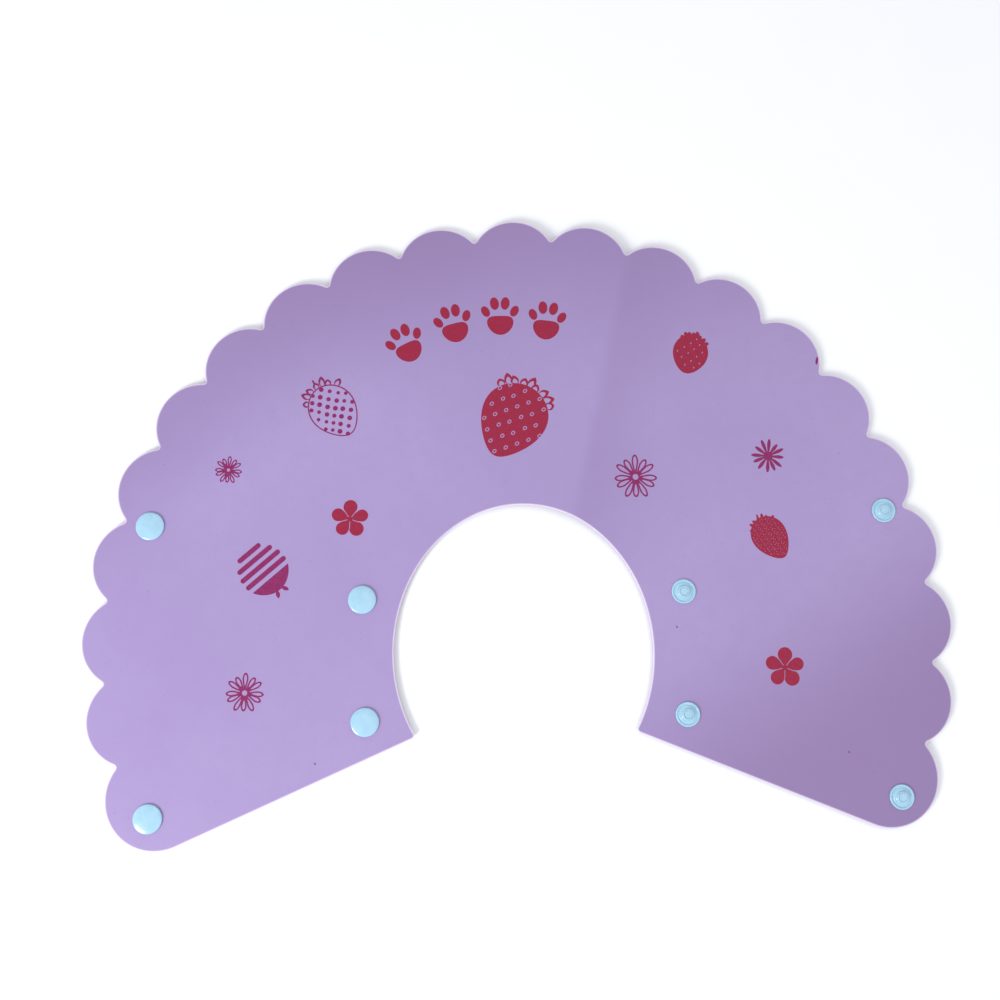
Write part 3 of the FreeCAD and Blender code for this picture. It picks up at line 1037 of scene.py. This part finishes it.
class Maker:
    """A material, with short ways to add nodes."""

    def __init__(self, name):
        self.material = bpy.data.materials.new(name)
        self.material.use_nodes = True
        self.tree = self.material.node_tree
        self.shader = self.tree.nodes["Principled BSDF"]
        place = self.tree.nodes.new("ShaderNodeTexCoord")
        self.place = place.outputs["Object"]

    def link(self, output, socket):
        """Links one node's output to another's input."""
        self.tree.links.new(output, socket)

    def noise(self, scale, detail=3.0, rough=0.5, stretch=None):
        """A noise between about 0.3 and 0.7, with scale in cells to the metre."""
        node = self.tree.nodes.new("ShaderNodeTexNoise")
        node.inputs["Scale"].default_value = scale
        node.inputs["Detail"].default_value = detail
        node.inputs["Roughness"].default_value = rough
        source = self.place
        if stretch:
            turn, times = stretch
            mapping = self.tree.nodes.new("ShaderNodeMapping")
            mapping.inputs["Rotation"].default_value = (0, 0, turn)
            mapping.inputs["Scale"].default_value = (1, times, 1)
            self.link(source, mapping.inputs["Vector"])
            source = mapping.outputs["Vector"]
        self.link(source, node.inputs["Vector"])
        return node.outputs["Fac"]

    def slope(self, towards, low, high, depth):
        """0 where the place along towards is below low, and depth where it is above high."""
        node = self.tree.nodes.new("ShaderNodeVectorMath")
        node.operation = "DOT_PRODUCT"
        self.link(self.place, node.inputs[0])
        node.inputs[1].default_value = towards
        return self.remap(node.outputs["Value"], low, high, 0.0, depth, "SMOOTHSTEP")

    def product(self, first, second):
        """The product of two sockets."""
        node = self.tree.nodes.new("ShaderNodeMath")
        node.operation = "MULTIPLY"
        self.link(first, node.inputs[0])
        self.link(second, node.inputs[1])
        return node.outputs["Value"]

    def remap(self, value, low, high, new_low, new_high, steps="LINEAR"):
        """The value taken from the range low to high to the range new_low to new_high."""
        node = self.tree.nodes.new("ShaderNodeMapRange")
        node.interpolation_type = steps
        names = ("From Min", "From Max", "To Min", "To Max")
        for name, number in zip(names, (low, high, new_low, new_high)):
            node.inputs[name].default_value = number
        self.link(value, node.inputs["Value"])
        return node.outputs["Result"]

    def mix(self, share, first, second):
        """A colour between two, each an sRGB colour or a socket, by a share that is a socket."""
        node = self.tree.nodes.new("ShaderNodeMix")
        node.data_type = "RGBA"
        self.link(share, node.inputs["Factor"])
        for name, colour in (("A", first), ("B", second)):
            socket = next(s for s in node.inputs if s.name == name and s.type == "RGBA")
            if isinstance(colour, tuple):
                socket.default_value = linear(colour)
            else:
                self.link(colour, socket)
        return next(s for s in node.outputs if s.type == "RGBA")

    def bump(self, height, distance, under=None):
        """A normal for relief of the given height in metres, on top of another normal."""
        node = self.tree.nodes.new("ShaderNodeBump")
        node.inputs["Distance"].default_value = distance
        self.link(height, node.inputs["Height"])
        if under:
            self.link(under, node.inputs["Normal"])
        return node.outputs["Normal"]


def crease_painted_shade(made):
    """How much painted shade darkens the film just to the right of the crease. It fades out further on."""
    along, across = crease_directions()
    towards = (*across, 0.0)
    line = CREASE_NECK @ across * MM
    near = made.slope(towards, line - CREASE_SHADE_EDGE, line + CREASE_SHADE_EDGE, CREASE_PAINTED_SHADE)
    return made.product(near, made.slope(towards, line + CREASE_SHADE_REACH, line, 1.0))


def sheet_material():
    """Matt lilac plastic film: soft drifts of tone, painted shade towards the rim and beside the crease, a
    fine grain, faint scuffs, and a painted highlight along the cut edge.
    """
    made = Maker("lilac_sheet")
    shader = made.shader
    drift = made.remap(made.noise(9, 2.0), 0.35, 0.65, 0.0, 1.0)
    colour = made.mix(drift, FILM, FILM_PALE)
    haze = made.remap(made.noise(160, 5.0, 0.6), 0.3, 0.7, 0.0, 0.35)
    colour = made.mix(haze, colour, FILM_HAZE)
    painted_shade = FILM_PAINTED_SHADE
    # Painted shade: the film is painted darker towards the top rim, the lower right and the upper left.
    for towards, low, high, depth in RIM_PAINTED_SHADES:
        colour = made.mix(made.slope(towards, low, high, depth), colour, painted_shade)
    # Painted shade just to the right of the crease.
    colour = made.mix(crease_painted_shade(made), colour, painted_shade)
    specks = made.remap(made.noise(1400, 1.0), 0.74, 0.80, 0.0, 0.5)
    colour = made.mix(specks, colour, FILM_SPECK)
    # Painted highlight: the film is painted near white along its cut edge.
    edge = made.tree.nodes.new("ShaderNodeAttribute")
    edge.attribute_name = "painted_edge_highlight"
    colour = made.mix(edge.outputs["Fac"], colour, FILM_EDGE_HIGHLIGHT)
    made.link(colour, shader.inputs["Base Color"])
    made.link(made.remap(made.noise(60, 4.0, 0.6), 0.3, 0.7, 0.36, 0.46), shader.inputs["Roughness"])
    grain = made.bump(made.noise(3200, 3.0, 0.6), 0.00003)
    scuffs = made.noise(420, 5.0, 0.65, stretch=(0.5, 14.0))
    made.link(made.bump(scuffs, 0.00002, under=grain), shader.inputs["Normal"])
    shader.inputs["Specular IOR Level"].default_value = 0.45
    return made.material


def ink_material(name, colour, thin_colour):
    """Printed ink: slightly mottled where it lies thinner."""
    made = Maker(name)
    shader = made.shader
    mottle = made.remap(made.noise(900, 4.0, 0.65), 0.42, 0.72, 0.0, 0.55)
    tone = made.mix(mottle, colour, thin_colour)
    made.link(tone, shader.inputs["Base Color"])
    made.link(made.remap(made.noise(500, 3.0), 0.3, 0.7, 0.40, 0.52), shader.inputs["Roughness"])
    made.link(made.bump(made.noise(2600, 3.0), 0.00002), shader.inputs["Normal"])
    shader.inputs["Specular IOR Level"].default_value = 0.3
    return made.material


def snap_material():
    """Glossy pale blue moulded plastic with a little depth."""
    made = Maker("pale_blue_snap")
    shader = made.shader
    drift = made.remap(made.noise(240, 3.0), 0.35, 0.65, 0.0, 1.0)
    tone = made.mix(drift, SNAP_BLUE, SNAP_BLUE_PALE)
    made.link(tone, shader.inputs["Base Color"])
    made.link(made.remap(made.noise(700, 4.0, 0.6), 0.3, 0.7, 0.16, 0.26), shader.inputs["Roughness"])
    made.link(made.bump(made.noise(1500, 3.0), 0.00001), shader.inputs["Normal"])
    shader.inputs["Coat Weight"].default_value = 0.35
    shader.inputs["Coat Roughness"].default_value = 0.08
    shader.inputs["Subsurface Weight"].default_value = 0.15
    shader.inputs["Subsurface Radius"].default_value = (1.0, 1.2, 1.4)
    shader.inputs["Subsurface Scale"].default_value = 0.0012
    return made.material


def floor_material():
    """A plain pale floor."""
    made = Maker("pale_floor")
    tone = made.mix(made.noise(30, 3.0), FLOOR, FLOOR_PALE)
    made.link(tone, made.shader.inputs["Base Color"])
    made.shader.inputs["Roughness"].default_value = 0.85
    return made.material


# ---- floor, lights and camera

def build_floor():
    """The floor, which isn't part of the collar."""
    corners = np.array([(-1, -1, 0), (1, -1, 0), (1, 1, 0), (-1, 1, 0)]) * FLOOR_HALF
    floor, _ = mesh_object("floor", corners, [[0, 1, 2, 3]], floor_material())


def build_light(name, place, size, power, colour):
    """A round lamp that shines on the collar."""
    data = bpy.data.lights.new(name, "AREA")
    data.shape = "DISK"
    data.size = size
    data.energy = power
    data.color = colour
    light = bpy.data.objects.new(name, data)
    bpy.context.scene.collection.objects.link(light)
    light.location = place
    light.rotation_euler = (-Vector(place)).to_track_quat("-Z", "Y").to_euler()


def build_world():
    """Even pale light from all round, and colours shown as they are."""
    world = bpy.data.worlds.new("studio")
    world.use_nodes = True
    background = world.node_tree.nodes["Background"]
    background.inputs["Color"].default_value = WORLD_COLOUR
    background.inputs["Strength"].default_value = WORLD_STRENGTH
    bpy.context.scene.world = world
    bpy.context.scene.view_settings.view_transform = "Standard"


def build_camera():
    """A camera nearly straight above the collar, a little turned and tilted."""
    tilt, roll, turn = CAMERA_TURNS
    turns = Matrix.Rotation(tilt, 3, "X") @ Matrix.Rotation(roll, 3, "Y") @ Matrix.Rotation(turn, 3, "Z")
    back = turns.transposed()
    data = bpy.data.cameras.new("camera")
    data.sensor_width = CAMERA_LENS
    data.lens = CAMERA_LENS
    data.clip_start = 0.01
    camera = bpy.data.objects.new("camera", data)
    bpy.context.scene.collection.objects.link(camera)
    place = back @ Vector((-CAMERA_SHIFT[0], -CAMERA_SHIFT[1], CAMERA_DISTANCE))
    place += Vector((*NECK_POINT, SHEET_HIGH)) * MM
    camera.matrix_world = Matrix.Translation(place) @ back.to_4x4()
    bpy.context.scene.camera = camera


build_camera()
build_world()
build_floor()
for light_values in LIGHTS:
    build_light(*light_values)

collar_sheet = Sheet(snap_centres())
collar_sheet.build(sheet_material())
build_prints("red", red_prints(), collar_sheet, ink_material("red_ink", RED, RED_THIN))
build_prints("plum", plum_prints(), collar_sheet, ink_material("plum_ink", PLUM, PLUM_THIN))
build_snaps(snap_material())
